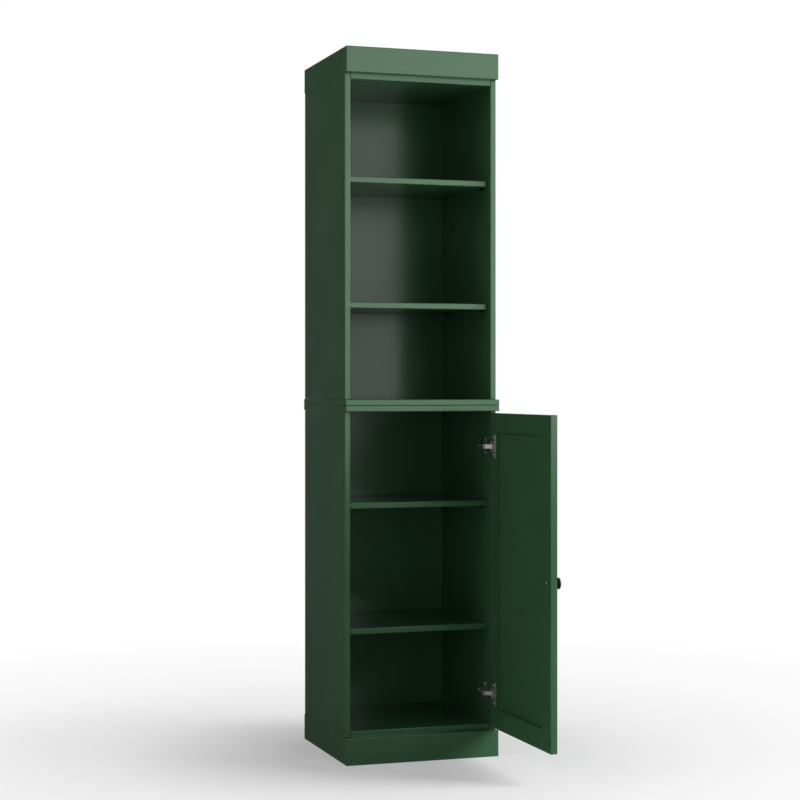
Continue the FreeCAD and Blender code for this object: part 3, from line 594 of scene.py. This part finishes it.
# Finishes
lacquer_upright = sprayed_green("green_lacquer_upright", UPRIGHT_GRAIN, BOARD_PEEL, BOARD_GLOSS)
lacquer_level = sprayed_green("green_lacquer_level", LEVEL_GRAIN, BOARD_PEEL, BOARD_GLOSS)
lacquer_side_trim = sprayed_green("green_lacquer_side_trim", SIDE_GRAIN, BOARD_PEEL, BOARD_GLOSS)
lacquer_back = sprayed_green("green_lacquer_back", BACK_GRAIN, BACK_PEEL, BACK_GLOSS)
nickel = plated_steel("nickel_plate", NICKEL_STOPS, NICKEL_DRAWN)
zinc = plated_steel("zinc_plate", ZINC_STOPS, ZINC_DRAWN)
blackened = plated_steel("blackened_steel", PIN_STOPS, ZINC_DRAWN)
pine_upright = planed_pine("pine_upright", PINE_UPRIGHT_GRAIN)
pine_level = planed_pine("pine_level", PINE_LEVEL_GRAIN)
knob_lacquer = black_lacquer()
buffer_plastic = soft_dot()

# Boards, by the way their grain runs, and the pieces that keep their own mesh
LEVEL_BOARDS = (
    "lower_floor_board", "lower_top_board", "upper_base_board", "upper_top_panel", "lower_shelf_low",
    "lower_shelf_high", "upper_shelf_low", "upper_shelf_high", "cornice_front", "plinth_front", "plinth_back",
    "door_top_rail", "door_bottom_rail",
)
SIDE_TRIMS = ("cornice_side_left", "cornice_side_right", "plinth_side_left", "plinth_side_right")
UPRIGHT_BOARDS = (
    "lower_side_left", "lower_side_right", "upper_side_left", "upper_side_right", "door_hinge_stile",
    "door_latch_stile", "door_panel",
)
BACKS = ("lower_back_panel", "upper_back_panel")
HIDDEN_STEEL = ("cam_bolts", "cam_discs", "case_screws", "back_nails", "hinge_arm_pins", "hinge_cup_pins")
DOWELS = ("case_dowels", "stacking_dowels")
BUMPERS = ("door_bumpers",)
for boards, lacquer in (
        (LEVEL_BOARDS, lacquer_level), (SIDE_TRIMS, lacquer_side_trim), (UPRIGHT_BOARDS, lacquer_upright)):
    for name in boards:
        ease(name, BOARD_EASE, lacquer)
for names, material in (
        (BACKS, lacquer_back), (HIDDEN_STEEL, zinc), (DOWELS, pine_upright), (BUMPERS, buffer_plastic)):
    for name in names:
        dress(nodes[name], material)

# Hinges, brackets, joining plates and shelf pins of pressed steel, and the corner blocks
LEVELS = ("upper", "lower")
for level in LEVELS:
    for part, width in HINGE_EASES:
        ease("hinge_" + part + "_" + level, width, nickel)
    node = "hinge_cup_" + level
    cup = plain_copy(node)
    roll_rim(cup)
    stand_in(ease_edges(cup, CUP_EASE), node, nickel)
for side in ("left", "right"):
    ease("wall_bracket_" + side, BRACKET_EASE, zinc)
ease("joining_plates", JOINING_PLATE_EASE, zinc)
ease("shelf_pins", SHELF_PIN_EASE, blackened)
for name in ("plinth_blocks", "cornice_blocks"):
    ease(name, BLOCK_EASE, pine_level)

# Hinge screws
small_screw = pan_screw("small_screw", SMALL_HEAD, SMALL_SHANK, SMALL_LENGTH)
plate_spots = []
arm_spots = []
cup_spots = []
for level in LEVELS:
    low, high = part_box("hinge_plate_" + level)
    middle = (low + high) / 2
    for rise in PLATE_SCREW_RISES:
        plate_spots.append(((high.x - PLATE_WING, PLATE_SCREW_Y, middle.z + rise), TO_LEFT))
    low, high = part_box("hinge_arm_" + level)
    for y in ARM_SCREW_YS:
        arm_spots.append(((ARM_SCREW_X, y, (low.z + high.z) / 2), TO_LEFT))
    low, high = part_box("hinge_cup_" + level)
    nearest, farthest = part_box("hinge_cup_screws")
    for rise in CUP_SCREW_RISES:
        point = (low.x, (nearest.y + farthest.y) / 2, (low.z + high.z) / 2 + rise)
        cup_spots.append((point, TO_LEFT))
screw_set("hinge_plate_screws", small_screw, plate_spots, nickel)
screw_set("hinge_arm_screws", small_screw, arm_spots, nickel)
screw_set("hinge_cup_screws", small_screw, cup_spots, nickel)

# Screws of the joining plates, the wall brackets and the corner blocks
low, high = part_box("joining_plate_screws")
joining_spots = []
for x in JOINING_PLATE_XS:
    for shift in JOINING_SCREW_SHIFTS:
        for rise in JOINING_SCREW_RISES:
            joining_spots.append(((x + shift, high.y - HEAD_HEIGHT, SEAM_HEIGHT + rise), TO_BACK))
screw_set("joining_plate_screws", small_screw, joining_spots, zinc)

low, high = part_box("wall_bracket_screws")
bracket_spots = []
for x in BRACKET_XS:
    for y in BRACKET_SCREW_YS:
        bracket_spots.append(((x, y, high.z - HEAD_HEIGHT), UP))
screw_set("wall_bracket_screws", small_screw, bracket_spots, zinc)
bpy.data.objects.remove(small_screw)

block_screws("cornice_screws", CORNICE_SCREW_LENGTH, UP)
block_screws("plinth_screws", PLINTH_SCREW_LENGTH, DOWN)

# Knob and its screw
low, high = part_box("knob")
foot = Vector((low.x, (low.y + high.y) / 2, (low.z + high.z) / 2))
knob = turned("door_knob", [(height * MM, radius * MM) for height, radius in KNOB_RINGS], KNOB_SIDES)
smooth(knob, KNOB_SMOOTH)
knob_piece = copies_at("door_knob_turned", knob, [(foot, TO_RIGHT)])
bpy.data.objects.remove(knob)
stand_in(knob_piece, "knob", knob_lacquer)

low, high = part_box("knob_screw")
point = (low.x + HEAD_HEIGHT, (low.y + high.y) / 2, (low.z + high.z) / 2)
machine_screw = pan_screw("machine_screw", KNOB_SCREW_HEAD, KNOB_SCREW_SHANK, KNOB_SCREW_LENGTH)
knob_screw = copies_at("knob_machine_screw", machine_screw, [(point, TO_LEFT)])
bpy.data.objects.remove(machine_screw)
stand_in(knob_screw, "knob_screw", zinc)


def looked_at(tree, share=1.0):
    """1 for rays from the camera, and a share for rays off gloss and through glass."""
    rays = tree.nodes.new("ShaderNodeLightPath").outputs
    mirrored = reckon(tree, "MAXIMUM", rays["Is Glossy Ray"], rays["Is Transmission Ray"])
    mirrored_share = reckon(tree, "MULTIPLY", mirrored, share)
    return reckon(tree, "MAXIMUM", rays["Is Camera Ray"], mirrored_share)


def compare(tree, operation, place, other):
    """The distance between a place and a point, or how far two directions agree."""
    node = tree.nodes.new("ShaderNodeVectorMath")
    node.operation = operation
    node.inputs[1].default_value = other
    tree.links.new(place, node.inputs[0])
    return node.outputs["Value"]


def show_mixed(tree, share, first, second, output):
    """Two shaders mixed, as what is seen."""
    mix = tree.nodes.new("ShaderNodeMixShader")
    tree.links.new(share, mix.inputs["Fac"])
    tree.links.new(first, mix.inputs[1])
    tree.links.new(second, mix.inputs[2])
    tree.links.new(mix.outputs["Shader"], output.inputs["Surface"])


# Pale floor that fades into the backdrop
deselect()
bpy.ops.mesh.primitive_plane_add(size=FLOOR_SIZE, location=(0, 0, 0))
floor = bpy.context.object
floor.name = "studio_floor"
floor.visible_glossy = False
paper, tree, shader, place = fresh_material("studio_paper")
shader.inputs["Base Color"].default_value = FLOOR_PALE
shader.inputs["Roughness"].default_value = FLOOR_ROUGHNESS
shader.inputs["Specular IOR Level"].default_value = FLOOR_GLOSS
away = spread(tree, compare(tree, "DISTANCE", place, FADE_CENTRE), FADE_SPAN, 0, 1)
faded = reckon(tree, "MULTIPLY", blend_colours(tree, away, FLOOR_FADE), looked_at(tree))
white = tree.nodes.new("ShaderNodeEmission")
white.inputs["Color"].default_value = BACKDROP_WHITE
output = next(node for node in tree.nodes if node.type == "OUTPUT_MATERIAL")
show_mixed(tree, faded, shader.outputs["BSDF"], white.outputs["Emission"], output)
dress(floor, paper)

# White backdrop behind the cabinet, in a dim grey room with a dark screen at the back left
world = bpy.data.worlds.new("studio")
bpy.context.scene.world = world
world.use_nodes = True
tree = world.node_tree
tree.nodes.clear()
output = tree.nodes.new("ShaderNodeOutputWorld")
room = tree.nodes.new("ShaderNodeBackground")
backdrop = tree.nodes.new("ShaderNodeBackground")
backdrop.inputs["Color"].default_value = BACKDROP_WHITE
way = tree.nodes.new("ShaderNodeTexCoord").outputs["Generated"]
behind = spread(tree, compare(tree, "DOT_PRODUCT", way, BACKDROP_WAY), BACKDROP_EDGE, 0, 1)
aside = compare(tree, "DOT_PRODUCT", way, SCREEN_WAY)
tree.links.new(spread(tree, aside, SCREEN_EDGE, ROOM_GREY, SCREEN_GREY), room.inputs["Color"])
seen = looked_at(tree, behind)
show_mixed(tree, seen, room.outputs["Background"], backdrop.outputs["Background"], output)

# Lamps
for name, place, aim, width, height, watts in SOFTBOXES:
    lamp = bpy.data.lights.new(name, "AREA")
    lamp.shape = "RECTANGLE"
    lamp.size = width
    lamp.size_y = height
    lamp.energy = watts
    holder = bpy.data.objects.new(name, lamp)
    bpy.context.scene.collection.objects.link(holder)
    holder.location = place
    holder.rotation_euler = (Vector(aim) - Vector(place)).to_track_quat("-Z", "Y").to_euler()

# Camera
lens = bpy.data.cameras.new("view_camera")
lens.sensor_width = SENSOR_WIDTH
lens.lens = FOCAL_LENGTH
lens.shift_y = LENS_SHIFT
camera = bpy.data.objects.new("view_camera", lens)
bpy.context.scene.collection.objects.link(camera)
camera.location = CAMERA_PLACE
camera.rotation_euler = CAMERA_TURN
bpy.context.scene.camera = camera
bpy.context.scene.view_settings.view_transform = "Standard"
